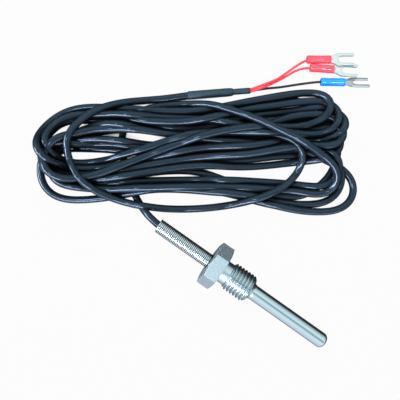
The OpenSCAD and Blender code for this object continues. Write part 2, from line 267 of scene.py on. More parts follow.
# Height from layer to layer, how much they are spread before the cable drops, the spacing of its points, the
# stretches held as laid at its two ends, and how often its line is evened out at each stage
LAYER_STEP = 0.7
LAYER_RAISE = 4.5
ROUTE_STEP = 1.5
RING_STEP = 1.0
LEAD_HELD = 34
TAIL_HELD = 30
ROUTE_SOFTENING = 8
SETTLED_SOFTENING = 8
RING_SOFTENING = 14
CABLE_SIDES = 24
CURVE_STEPS = 24


def layer_height(layer):
    """Height of the cable's centre in that layer, before it is dropped."""
    return CABLE_D / 2 + LAYER_STEP * layer


def turn_points(far, right, near, left, layers):
    """Points of one turn of the hank, from the left of its far run to its left end."""
    far_z, right_z, near_z, left_z = (layer_height(n) for n in layers)
    points = [(x, y, far_z) for x, y in zip(STATIONS[-len(far):], far)]
    x, y, r = right
    for a in np.radians(RIGHT_END_ANGLES):
        points.append((x - r + r * math.cos(a), y + r * math.sin(a), right_z))
    points += [(x, y, near_z) for x, y in zip(STATIONS[::-1], near)]
    x, y, r = left
    for a in np.radians(LEFT_END_ANGLES):
        points.append((x + LEFT_END_STRETCH * r * (1 + math.cos(a)), y + r * math.sin(a), left_z))
    return points


def cable_points():
    """The whole route, from inside the spring to inside the large shrink sleeve."""
    points = [on_probe(back) for back in IN_SPRING]
    points += [*LEAD_POINTS, *UNDER_POINTS]
    for turn in TURNS:
        points += turn_points(*turn)
    points += [(x, y, layer_height(n)) for x, y, n in LOOP_POINTS]
    points += [*TAIL_POINTS, in_sleeve(0), in_sleeve(JACKET_END / 2), in_sleeve(JACKET_END)]
    return np.array(points, float)


def spaced(line, step):
    """The same line with its points that far apart."""
    run = np.concatenate([[0], np.cumsum(np.linalg.norm(np.diff(line, axis=0), axis=1))])
    at = np.linspace(0, run[-1], round(run[-1] / step) + 1)
    return np.stack([np.interp(at, run, line[:, k]) for k in range(3)], 1)


def smooth_curve(points, step):
    """A centripetal Catmull-Rom curve through all the points."""
    p = np.vstack([2 * points[0] - points[1], points, 2 * points[-1] - points[-2]])
    knots = np.concatenate([[0], np.cumsum(np.sqrt(np.linalg.norm(np.diff(p, axis=0), axis=1)))])
    line = []
    for i in range(1, len(p) - 2):
        k = knots[i - 1:i + 3]
        for t in np.linspace(k[1], k[2], CURVE_STEPS, endpoint=False):
            q = p[i - 1:i + 3]
            q = q[:-1] + ((t - k[:3]) / (k[1:] - k[:3]))[:, None] * (q[1:] - q[:-1])
            q = q[:-1] + ((t - k[:2]) / (k[2:] - k[:2]))[:, None] * (q[1:] - q[:-1])
            line.append(q[0] + (t - k[1]) / (k[2] - k[1]) * (q[1] - q[0]))
    return spaced(np.array([*line, points[-1]]), step)


def softened(line, times):
    """The line with its small kinks evened out, its two ends where they were."""
    line = line.copy()
    for _ in range(times):
        line[1:-1] = 0.5 * line[1:-1] + 0.25 * (line[:-2] + line[2:])
    return line


def touching_pairs(p, reach):
    """Pairs of the cable's points that lie close together, apart from neighbours along it."""
    size = (p ** 2).sum(1)
    return np.nonzero(np.triu(size[:, None] + size[None, :] - 2 * p @ p.T < reach ** 2, NEIGHBOURS))


# How the cable is dropped: the rounds, the fall in one round, which eases off near the end, the pull back to
# its route in plan, the share of a push that goes sideways, and how it resists bends and steep climbs
ROUNDS = 420
DROP = 0.15
EASED_DROP = 0.2 * DROP
EASED_FROM = 0.8 * ROUNDS
PULL_BACK = 0.12
ASIDE = 0.15
STIFFNESS = 0.25
LEVELLING = 0.2
PAIRS_EVERY = 10
PAIR_REACH = 1.6 * CABLE_D
NEIGHBOURS = 4
PUSHES = 3


def settle(line, held):
    """Lets the raised cable drop onto the floor and itself, its turns kept where they lie in plan.

    Where many turns cross, some still pass partly through each other.
    """
    p, count = line.copy(), len(line)
    free = ~held
    for turn in range(ROUNDS):
        if turn % PAIRS_EVERY == 0:
            first, second = touching_pairs(p, PAIR_REACH)
        p[free, 2] -= DROP if turn < EASED_FROM else EASED_DROP
        p[free, :2] += PULL_BACK * (line[free, :2] - p[free, :2])
        bend = np.zeros_like(p)
        bend[1:-1] = 0.5 * (p[:-2] + p[2:]) - p[1:-1]
        stiff = bend.copy()
        stiff[1:-1] -= 0.5 * (bend[:-2] + bend[2:])
        p[free] += STIFFNESS * stiff[free]
        p[free, 2] += LEVELLING * bend[free, 2]
        for _ in range(PUSHES):
            gap = p[second] - p[first]
            apart = np.linalg.norm(gap, axis=1)
            hit = apart < CABLE_D
            push = 0.5 * gap[hit] * (CABLE_D / np.maximum(apart[hit], 1e-6) - 1)[:, None]
            push[:, :2] *= ASIDE
            hits = np.bincount(first[hit], minlength=count) + np.bincount(second[hit], minlength=count)
            move = np.stack([np.bincount(second[hit], push[:, a], count)
                             - np.bincount(first[hit], push[:, a], count) for a in range(3)], 1)
            p[free] += (move / np.sqrt(np.maximum(hits, 1))[:, None])[free]
            p[:, 2] = np.maximum(p[:, 2], CABLE_D / 2)
    return p


def cable_line():
    """The cable's settled centre line in the hank's frame, held as laid near the spring and the sleeve."""
    line = softened(smooth_curve(cable_points(), ROUTE_STEP), ROUTE_SOFTENING)
    run = np.arange(len(line)) * ROUTE_STEP
    held = (run < LEAD_HELD) | (run > run[-1] - TAIL_HELD)
    raised = line.copy()
    raised[~held, 2] = CABLE_D / 2 + (line[~held, 2] - CABLE_D / 2) * LAYER_RAISE
    settled = softened(settle(raised, held), SETTLED_SOFTENING)
    settled[held] = line[held]
    return softened(spaced(settled, RING_STEP), RING_SOFTENING)


def add_cord(name, line, diameter, sides=16):
    """A round cord swept along a line, with both in metres in the row's frame."""
    along = np.gradient(line, axis=0)
    along /= np.linalg.norm(along, axis=1)[:, None]
    side = np.cross(along, (0, 0, 1))
    side /= np.linalg.norm(side, axis=1)[:, None]
    up = np.cross(side, along)
    t = np.arange(sides) * 2 * math.pi / sides
    outward = np.cos(t)[:, None] * side[:, None] + np.sin(t)[:, None] * up[:, None]
    rings = line[:, None] + diameter / 2 * outward
    last = (len(line) - 1) * sides
    faces = grid_faces(len(line), sides)
    faces += [tuple(range(sides))[::-1], tuple(last + k for k in range(sides))]
    return add_mesh(name, rings.reshape(-1, 3), faces, 60)


cable_path = in_row(cable_line())
cable = add_cord("cable", cable_path, CABLE_D * MM, CABLE_SIDES)
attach(cable, "root")
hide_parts("cable_lead_in", "cable_hank", "cable_tail")
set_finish(cable, "cable_jacket")

# ---------------------------------------------------------------- the wires' routes

# Each wire: how far beside and above the sleeve's axis it lies, in wire diameters, then its points outside
WIRES = {
    "red_upper": ((0.51, 0.29), ((28.8, 28.4, 2.6), (32.5, 29.8, 2.6), (36.3, 31.5, 2.5), (39.6, 33.8, 2.3),
                                 (42.9, 36.2, 2.1), (46, 38.2, 1.9), (48.4, 39.3, 1.8))),
    "red_lower": ((-0.51, 0.29), ((27.8, 27, 2.1), (31.1, 28.3, 1.9), (35.4, 30.3, 1.8), (39.7, 32.6, 1.7),
                                  (43, 34.6, 1.6), (46.3, 35.8, 1.6), (49.8, 36.1, 1.7))),
    "black": ((0, -0.58), ((28.8, 27.2, 0.9), (32, 27.7, 0.7), (36.4, 28.1, 0.6), (41.8, 28.9, 0.6),
                           (46.1, 29.5, 0.8), (51, 30, 1.4), (54.3, 30.2, 1.7))),
}
WIRE_ENDS = {"red_upper": "red_upper", "red_lower": "red_lower", "black": "blue"}
WIRE_STEP = 0.5
WIRE_SOFTENING = 6


def in_terminal(name, along):
    """A point on a terminal's axis, that far from its mouth, in the hank's frame."""
    return tuple(lay_frame.inverted() @ terminal_frame(name) @ Vector((along * MM, 0, 0)) / MM)


def add_wire(name):
    """One insulated wire, from the jacket's end through the small sleeve to its terminal, and its route."""
    (side, up), points = WIRES[name]
    stations = (JACKET_END, SLEEVES_END - WIRES_TOGETHER, SLEEVES_END)
    inside = [in_sleeve(at, side * WIRE_D, up * WIRE_D) for at in stations]
    end = in_terminal(WIRE_ENDS[name], CONDUCTOR_IN)
    line = softened(smooth_curve(np.array([*inside, *points, end], float), WIRE_STEP), WIRE_SOFTENING)
    wire = add_cord("wire_" + name + "_insulated", in_row(line), WIRE_D * MM)
    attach(wire, "root")
    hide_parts("wire_" + name)
    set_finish(wire, "wire_black" if name == "black" else "wire_red")
    return wire, in_row(line)


wires = {name: add_wire(name) for name in WIRES}


# ---------------------------------------------------------------- sheath

TIP_ROUND = 2
SHEATH_WALL = 0.5
TIP_WALL = 0.8
TIP_INSIDE_ROUND = 1.5
TIP_FLAT_R = 0.6
TUBE_EDGE = 0.08
TUBE_STATIONS = 40


def add_sheath():
    """The closed tube: its outside to the rounded tip, then its inside back to the open end."""
    r = SHEATH_R / MM
    back, tip = sheath_low.x / MM, TIP_X / MM
    inner, floor = r - SHEATH_WALL, tip - TIP_WALL
    outline = [(back, inner), (back, r - TUBE_EDGE), (back + TUBE_EDGE, r)]
    outline += [(x, r) for x in np.linspace(back + 2, tip - TIP_ROUND - 0.5, TUBE_STATIONS)]
    outline += arc(tip - TIP_ROUND, r - TIP_ROUND, TIP_ROUND, 90, 0, 16)
    outline += [(tip, TIP_FLAT_R), (tip, AXIS_HOLE)]
    inside = [(floor, AXIS_HOLE), (floor, inner - TIP_INSIDE_ROUND)]
    inside += arc(floor - TIP_INSIDE_ROUND, inner - TIP_INSIDE_ROUND, TIP_INSIDE_ROUND, 0, 90, 6)[1:]
    outline += inside + [(back, inner)]
    piece = turned("sheath_tube", metres(outline), columns=128)
    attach(place(piece, probe_axis), "root")
    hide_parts("sheath")
    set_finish(piece, "sheath_steel")
    return piece


# ---------------------------------------------------------------- threaded fitting

HEX_THICK = 6
HEX_CHAMFER = 0.35
HEX_FACE_INSET = 0.2
HEX_EDGE_ROUND = 0.1
HEX_RINGS_REACH = 1.6 * HEX_CHAMFER
HEX_RINGS_CROWD = 1.3
HEX_PLAIN_FROM = 1.8
HEX_COLUMNS = 360
BORE_PLAY = 0.02
NECK_D = 9.6
NECK_SEAT = 0.5
NECK_LEN = 3.3
NECK_CONE = 1
THREAD_D = 12
THREAD_LEN = 8.8
THREAD_PITCH = 1.5
THREAD_DEPTH = 0.92
THREAD_RUNOUT = 1.4
THREAD_ROOT_SHARE = 0.14
THREAD_FLANK_SHARE = 0.66
THREAD_STATION = 0.05
THREAD_COLUMNS = 144
NOSE_CHAMFER = 1
NOSE_FILLET = 1.7
NOSE_LIP = 0.1


def hexagon_radius(angles):
    """Distance from the axis to a hexagon with flats at the top and bottom."""
    turn = (angles - math.pi / 2 + math.pi / 6) % (math.pi / 3) - math.pi / 6
    return HEX_FLATS / 2 / np.cos(turn)


def soft_least(a, b, soft):
    """The lesser of two radii, with a small round where they meet."""
    h = np.clip(0.5 + 0.5 * (b - a) / soft, 0, 1)
    return b * (1 - h) + a * h - soft * h * (1 - h)


def add_hexagon():
    """The hexagon, its corners cut by a cone at both faces, with closer rings along those chamfers."""
    back, front = HEX_X, HEX_X + HEX_THICK * MM
    flats, corners = HEX_FLATS / 2, HEX_FLATS / math.sqrt(3)
    face_r = flats - HEX_FACE_INSET * MM
    slope = (corners - face_r) / (HEX_CHAMFER * MM)

    def radius_at(x, r, angles):
        cone = np.full(len(angles), face_r + slope * min(x - back, front - x))
        return np.minimum(soft_least(hexagon_radius(angles), cone, HEX_EDGE_ROUND * MM), r)

    steps = [*np.linspace(0, 1, 13) ** HEX_RINGS_CROWD * HEX_RINGS_REACH * MM]
    bore = SHEATH_R + BORE_PLAY * MM
    wide = 2 * corners
    ends = np.linspace(bore, face_r, 6)
    outline = [(back, r) for r in ends]
    outline += [(back + s, wide) for s in steps[1:]]
    outline += [(x, wide) for x in np.linspace(back + HEX_PLAIN_FROM * MM, front - HEX_PLAIN_FROM * MM, 5)]
    outline += [(front - s, wide) for s in steps[:0:-1]]
    outline += [(front, r) for r in ends[::-1]]
    outline += [(back, bore)]
    return turned("fitting_hexagon", outline, HEX_COLUMNS, radius_at, 24)


def add_shank():
    """Neck, rolled thread, chamfered nose and the fillet down to the sheath."""
    front = HEX_X + HEX_THICK * MM
    thread_start = front + (NECK_LEN + NECK_CONE) * MM
    thread_end = thread_start + THREAD_LEN * MM
    nose = thread_end + NOSE_CHAMFER * MM
    crest, root = THREAD_D / 2 * MM, (THREAD_D / 2 - THREAD_DEPTH) * MM
    neck, neck_end = NECK_D / 2 * MM, front + NECK_LEN * MM
    seat, runout_start = front - NECK_SEAT * MM, thread_start - THREAD_RUNOUT * MM
    lip = SHEATH_R + NOSE_LIP * MM
    bore = SHEATH_R + BORE_PLAY * MM

    def radius_at(x, r, angles):
        if not runout_start < x < nose + 0.1 * MM:
            return np.full(len(angles), r)
        phase = ((x - thread_start) / (THREAD_PITCH * MM) - angles / (2 * math.pi)) % 1.0
        flank = np.clip((np.abs(phase - 0.5) * 2 - THREAD_ROOT_SHARE) / THREAD_FLANK_SHARE, 0, 1)
        thread = root + (crest - root) * flank
        runout = np.clip((x - runout_start) / (THREAD_RUNOUT * MM), 0, 1)
        return np.minimum(r, thread * runout + r * (1 - runout))

    outline = [(seat, bore), (seat, neck), (front, neck)]
    outline += [(x, neck) for x in np.linspace(front + 0.3 * MM, neck_end, 8)]
    for x in np.arange(neck_end, nose, THREAD_STATION * MM):
        cone = neck + (crest - neck) * min(1, (x - neck_end) / (NECK_CONE * MM))
        tip = crest - max(0, x - thread_end)
        outline.append((x, min(cone, tip)))
    outline += [(nose, crest - NOSE_CHAMFER * MM)]
    outline += arc(nose + NOSE_FILLET * MM, lip + NOSE_FILLET * MM, NOSE_FILLET * MM, 180, 270, 10)[1:]
    outline += [(FREE_X, bore), (seat, bore)]
    return turned("fitting_thread", outline, THREAD_COLUMNS, radius_at, 40)


# ---------------------------------------------------------------- spring

SPRING_WIRE = 0.7
COIL_GAP = 0.025
STEPS_A_COIL = 40
WIRE_SIDES = 12


def add_spring():
    """A round wire wound close, between the solid's two ends."""
    wire_r = SPRING_WIRE / 2 * MM
    mean_r = (spring_high.z - spring_low.z) / 2 - wire_r
    pitch = (SPRING_WIRE + COIL_GAP) * MM
    start, end = spring_low.x + wire_r, spring_high.x - wire_r
    count = round((end - start) / pitch * STEPS_A_COIL)
    a = np.arange(count + 1) * 2 * math.pi / STEPS_A_COIL
    out = np.stack([np.zeros_like(a), np.cos(a), np.sin(a)], 1)
    along = np.stack([np.full_like(a, pitch / (2 * math.pi * mean_r)), -np.sin(a), np.cos(a)], 1)
    along /= np.linalg.norm(along, axis=1)[:, None]
    up = np.cross(along, out)
    centre = np.stack([start + pitch * a / (2 * math.pi), mean_r * out[:, 1], mean_r * out[:, 2]], 1)
    t = np.arange(WIRE_SIDES) * 2 * math.pi / WIRE_SIDES
    outward = np.cos(t)[:, None] * out[:, None] + np.sin(t)[:, None] * up[:, None]
    rings = centre[:, None] + wire_r * outward
    faces = grid_faces(count + 1, WIRE_SIDES)
    faces += [tuple(range(WIRE_SIDES)), tuple(count * WIRE_SIDES + k for k in range(WIRE_SIDES))[::-1]]
    piece = add_mesh("closed_wound_spring", rings.reshape(-1, 3), faces, 60)
    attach(place(piece, probe_axis), "root")
    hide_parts("strain_relief_spring")
    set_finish(piece, "spring_steel")
    return piece


# ---------------------------------------------------------------- shrink sleeves

SLEEVE_WALL = 0.2
LARGE_SLEEVE_RIPPLE = (0.015, 1.3)
SMALL_SLEEVE_RIPPLE = (0.02, 2.1)


def sleeve_frame():
    """The shrink sleeves' own frame, in metres: X along them from the large sleeve's mouth."""
    x, y, z = in_sleeve(0)
    return lay_frame @ Matrix.Translation((x * MM, y * MM, z * MM)) @ Matrix.Rotation(SLEEVE_HEADING, 4, "Z")


def rippled(start, end, count, radius, ripple):
    """Profile points of tubing that shrank a little unevenly; a ripple is its height and its waves."""
    height, waves = ripple
    return [(x, radius + height * math.sin(x * waves)) for x in np.linspace(start, end, count)]


def add_sleeve(name, node, outline):
    """One shrink sleeve, in place of that solid."""
    piece = turned(name, metres(outline), columns=64, crease=50)
    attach(place(piece, sleeve_frame()), "root")
    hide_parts(node)
    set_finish(piece, "shrink_sleeve")
    return piece


def add_sleeves():
    """The large sleeve, drawn in over the small one at its far end, and the small one round the wires."""
    large_r, small_r = LARGE_SLEEVE_D / 2, SMALL_SLEEVE_D / 2
    cable_r, small_bore = CABLE_D / 2, small_r - SLEEVE_WALL
    end = LARGE_SLEEVE_LEN
    large = [(0, cable_r), (-0.02, large_r - 0.1)]
    large += [(0.1, large_r - 0.01), (0.35, large_r), (1.2, large_r - 0.03)]
    large += rippled(2, end - 3.2, 16, large_r - 0.02, LARGE_SLEEVE_RIPPLE)
    large += [(end - 2.4, large_r - 0.03), (end - 1.4, large_r - 0.08), (end - 0.5, large_r - 0.16),
              (end - 0.1, large_r - 0.24), (end, large_r - 0.34), (end - 0.05, small_r)]
    large += [(end - 2.4, large_r - 0.35), (0, cable_r)]
    first, last = end - SMALL_SLEEVE_GRIP, end + SMALL_SLEEVE_REACH
    small = [(first, small_bore), (first, small_r)]
    small += rippled(first + 0.5, last - 1, 12, small_r - 0.02, SMALL_SLEEVE_RIPPLE)
    small += [(last - 0.3, small_r - 0.06), (last, small_r - 0.14), (last + 0.02, small_bore)]
    small += [(first, small_bore)]
    return (add_sleeve("sleeve_on_jacket", "shrink_sleeve_large", large),
            add_sleeve("sleeve_on_wires", "shrink_sleeve_small", small))


# ---------------------------------------------------------------- fork terminals

INSULATION_LEN = 10.2
BARREL_D = 2.4
BARREL_INSET = 0.7
TAPER_LEN = 1.6
TERMINAL_LEN = 20.2
FORK_W = 5.7
SLOT_W = 3.2
SLOT_DEPTH = 6.8
FORK_T = 0.8
FORK_NECK_W = 3.4
FLARE_START = INSULATION_LEN + 0.1
FLARE_LEN = 3.4
PRESSED_EDGE = 0.12
BARREL_BORE_R = 0.75
CRIMP_R = 1.0
MOUTH_ROUND = 0.35
END_ROUND = 0.3
WAIST_IN = 0.05
SHOULDER_IN = 0.02


def add_insulation(name):
    """A moulded sleeve with a full rim at its mouth, a slightly slimmer waist and rounded ends."""
    r, bore, length = INSULATION_D / 2, BARREL_D / 2 + 0.01, INSULATION_LEN
    outline = [(0, bore), (0.02, r - MOUTH_ROUND)]
    outline += arc(MOUTH_ROUND, r - MOUTH_ROUND, MOUTH_ROUND, 170, 90, 5)
    outline += [(x, r) for x in np.linspace(1.0, 2.6, 4)]
    outline += [(3.1, r - 0.04), (3.6, r - WAIST_IN), (length - 3.4, r - WAIST_IN)]
    outline += [(length - 2.9, r - SHOULDER_IN), (length - 1, r - SHOULDER_IN)]
    outline += arc(length - END_ROUND, r - SHOULDER_IN - END_ROUND, END_ROUND, 90, 0, 5)
    outline += [(length, bore + 0.1), (length - 0.1, bore), (0, bore)]
    piece = turned("insulation_sleeve_" + name, metres(outline), columns=64, crease=50)
    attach(place(piece, terminal_frame(name)), "root")
    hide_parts("insulation_" + name)
    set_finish(piece, "insulation_blue" if name == "blue" else "insulation_red")
    return piece


def fork_outline():
    """One side of the fork's plate, from the barrel round the prong to the middle of the slot."""
    slot_x = TERMINAL_LEN - SLOT_DEPTH + SLOT_W / 2
    prong = (FORK_W - SLOT_W) / 2
    tip_x = TERMINAL_LEN - prong / 2
    hidden_x = INSULATION_LEN - BARREL_INSET + 0.3
    side = [(hidden_x, FORK_NECK_W / 2 - 0.55), (FLARE_START, FORK_NECK_W / 2)]
    for share in np.linspace(0.1, 1, 10):
        swell = 0.5 - 0.5 * math.cos(math.pi * share)
        half_width = (FORK_NECK_W + (FORK_W - FORK_NECK_W) * swell) / 2
        side.append((FLARE_START + FLARE_LEN * share, half_width))
    side += arc(tip_x, FORK_W / 2 - prong / 2, prong / 2, 90, -90, 10)
    side += arc(slot_x, 0, SLOT_W / 2, 90, 180, 8)
    return side


def add_fork_plate(name):
    """The flat stamped fork with its pressed edges."""
    upper = fork_outline()
    lower = [(x, -y) for x, y in upper[-2::-1]]
    ring = upper + lower
    n, half = len(ring), FORK_T / 2
    points = [(x, y, half) for x, y in ring] + [(x, y, -half) for x, y in ring]
    faces = [tuple(range(n))[::-1], tuple(range(n, 2 * n))]
    faces += [(k, (k + 1) % n, n + (k + 1) % n, n + k) for k in range(n)]
    plate = add_mesh("fork_plate_" + name, np.array(points) * MM, faces)
    bevel = plate.modifiers.new("pressed edge", "BEVEL")
    bevel.width = PRESSED_EDGE * MM
    bevel.segments = 3
    bevel.angle_limit = math.radians(40)
    mesh = bpy.data.meshes.new_from_object(plate.evaluated_get(bpy.context.evaluated_depsgraph_get()))
    plate.modifiers.clear()
    plate.data = mesh
    mesh.shade_smooth()
    mesh.set_sharp_from_angle(angle=math.radians(50))
    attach(place(plate, terminal_frame(name)), "root")
    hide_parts("fork_" + name)
    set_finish(plate, "fork_tin")
    return plate


def add_crimp_barrel(name):
    """The fork's barrel on the conductor, pinched by the crimp and tapered down to the plate."""
    r, first, end = BARREL_D / 2, CONDUCTOR_IN, INSULATION_LEN - BARREL_INSET
    outline = [(first, BARREL_BORE_R), (first, r - 0.1), (first + 0.1, r), (first + 1.6, r)]
    outline += arc(first + 2.8, r + 0.9, CRIMP_R, 235, 305, 8)
    outline += [(end - 1.2, r), (end, r), (end + 0.4, r - 0.12), (end + TAPER_LEN, FORK_T / 2)]
    outline += [(end + TAPER_LEN, AXIS_HOLE), (end - 1, AXIS_HOLE)]
    outline += [(end - 1, BARREL_BORE_R), (first, BARREL_BORE_R)]
    barrel = turned("crimp_barrel_" + name, metres(outline), columns=48, crease=40)
    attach(place(barrel, terminal_frame(name)), "root")
    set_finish(barrel, "fork_tin")
    return barrel


def add_fork(name):
    """A terminal's metal: its plate and its barrel."""
    return add_fork_plate(name), add_crimp_barrel(name)


# ---------------------------------------------------------------- materials


def new_material(name):
    """A new material with its node tree and shader."""
    material = bpy.data.materials.new(name)
    material.use_nodes = True
    tree = material.node_tree
    shader = tree.nodes["Principled BSDF"]
    return material, tree, shader


def add_node(tree, kind, inputs=None, **settings):
    """A node whose inputs are given as values or as the sockets that feed them."""
    node = tree.nodes.new(kind)
    for key, value in settings.items():
        setattr(node, key, value)
    for key, value in (inputs or {}).items():
        if isinstance(value, bpy.types.NodeSocket):
            tree.links.new(value, node.inputs[key])
        else:
            node.inputs[key].default_value = value
    return node


def new_group(name, inputs, outputs):
    """An empty shader node group with its named sockets."""
    group = bpy.data.node_groups.new(name, "ShaderNodeTree")
    for label, kind, value in inputs:
        socket = group.interface.new_socket(label, in_out="INPUT", socket_type=kind)
        socket.default_value = value
    for label, kind in outputs:
        group.interface.new_socket(label, in_out="OUTPUT", socket_type=kind)
    return group, group.nodes.new("NodeGroupInput"), group.nodes.new("NodeGroupOutput")


def grain_group():
    """Fine grain of moulded or drawn surfaces: a height and a mottled value, both between 0 and 1."""
    group, given, made = new_group(
        "surface grain",
        [("Grain Size", "NodeSocketFloat", 4000.0), ("Mottle Size", "NodeSocketFloat", 300.0),
         ("Stretch", "NodeSocketVector", (1, 1, 1))],
        [("Height", "NodeSocketFloat"), ("Mottle", "NodeSocketFloat")])
    place_at = add_node(group, "ShaderNodeTexCoord")
    stretched = add_node(group, "ShaderNodeVectorMath",
                         {0: place_at.outputs["Object"], 1: given.outputs["Stretch"]}, operation="MULTIPLY")
    fine = add_node(group, "ShaderNodeTexNoise",
                    {"Vector": stretched.outputs[0], "Scale": given.outputs["Grain Size"], "Detail": 3.0})
    mottle = add_node(group, "ShaderNodeTexNoise",
                      {"Vector": stretched.outputs[0], "Scale": given.outputs["Mottle Size"], "Detail": 2.0})
    group.links.new(fine.outputs["Fac"], made.inputs["Height"])
    group.links.new(mottle.outputs["Fac"], made.inputs["Mottle"])
    return group


grain = grain_group()


def use_group(tree, group, inputs):
    """A node group placed in a material with its own values."""
    node = add_node(tree, "ShaderNodeGroup", node_tree=group)
    for key, value in inputs.items():
        node.inputs[key].default_value = value
    return node


NOISE_RANGE = (0.3, 0.7)


def varied(tree, value, low, high):
    """A noise value, which keeps to the middle of 0 to 1, spread over another range."""
    spread = add_node(tree, "ShaderNodeMapRange", {"Value": value, "From Min": NOISE_RANGE[0],
                                                   "From Max": NOISE_RANGE[1], "To Min": low, "To Max": high})
    return spread.outputs["Result"]


def two_colours(tree, factor, first, second):
    """The first colour at 0 and the second at 1."""
    mix = add_node(tree, "ShaderNodeMix", data_type="RGBA")
    tree.links.new(factor, mix.inputs["Factor"])
    mix.inputs["A"].default_value = (*first, 1)
    mix.inputs["B"].default_value = (*second, 1)
    return mix.outputs["Result"]


def bumped(tree, shader, height, distance):
    """Lets the height show as a relief that deep, in metres."""
    bump = add_node(tree, "ShaderNodeBump", {"Height": height, "Distance": distance, "Strength": 1.0})
    tree.links.new(bump.outputs["Normal"], shader.inputs["Normal"])


# How the grain is stretched: not at all, strongly or less along the probe, or across it
EVEN = (1, 1, 1)
DRAWN = (0.02, 1, 1)
ALONG = (0.04, 1, 1)
ACROSS = (1, 0.04, 0.04)
PLASTIC_MOTTLE = 260.0
# The near black of the shade painted into crevices
PAINTED_SHADE_BLACK = (0.004, 0.004, 0.005, 1)


def paint_crevice_shade(tree, shader, reach, closed, free):
    """Painted shade: near black where neighbours within that reach close the surface in, as between the
    hank's turns, standing in for the shade that falls there.
    """
    openness = add_node(tree, "ShaderNodeAmbientOcclusion", {"Distance": reach}, samples=8)
    share = add_node(tree, "ShaderNodeMapRange",
                     {"Value": openness.outputs["AO"], "From Min": closed, "From Max": free},
                     interpolation_type="SMOOTHSTEP")
    dark = add_node(tree, "ShaderNodeBsdfDiffuse", {"Color": PAINTED_SHADE_BLACK})
    mix = add_node(tree, "ShaderNodeMixShader",
                   {0: share.outputs[0], 1: dark.outputs[0], 2: shader.outputs[0]})
    tree.links.new(mix.outputs[0], tree.nodes["Material Output"].inputs["Surface"])


def metal(name, first, second, rough, stretch, mottle_size=200.0, grain_size=3000.0, depth=4e-6,
          bare=1.0, crevice_shade=None):
    """Bare metal with tool marks along the axis of least stretch; a smaller share of bare metal is duller."""
    material, tree, shader = new_material(name)
    marks = use_group(tree, grain, {"Grain Size": grain_size, "Mottle Size": mottle_size, "Stretch": stretch})
    colour = two_colours(tree, marks.outputs["Mottle"], first, second)
    tree.links.new(colour, shader.inputs["Base Color"])
    shader.inputs["Metallic"].default_value = bare
    tree.links.new(varied(tree, marks.outputs["Height"], *rough), shader.inputs["Roughness"])
    bumped(tree, shader, marks.outputs["Height"], depth)
    # Painted shade in the hollows, where the crevice setting is given
    if crevice_shade:
        paint_crevice_shade(tree, shader, *crevice_shade)
    return material


def plastic(name, first, second, rough, grain_size=2500.0, depth=1e-5, gloss=0.5, tint=(1, 1, 1),
            crevice_shade=None):
    """Moulded, drawn or shrunk plastic with a fine grain; the tint colours its highlights."""
    material, tree, shader = new_material(name)
    skin = use_group(tree, grain, {"Grain Size": grain_size, "Mottle Size": PLASTIC_MOTTLE, "Stretch": EVEN})
    colour = two_colours(tree, skin.outputs["Mottle"], first, second)
    tree.links.new(colour, shader.inputs["Base Color"])
    tree.links.new(varied(tree, skin.outputs["Mottle"], *rough), shader.inputs["Roughness"])
    shader.inputs["Specular IOR Level"].default_value = gloss
    shader.inputs["Specular Tint"].default_value = (*tint, 1)
    bumped(tree, shader, skin.outputs["Height"], depth)
    # Painted shade where neighbours close the surface in, where the crevice setting is given
    if crevice_shade:
        paint_crevice_shade(tree, shader, *crevice_shade)
    return material


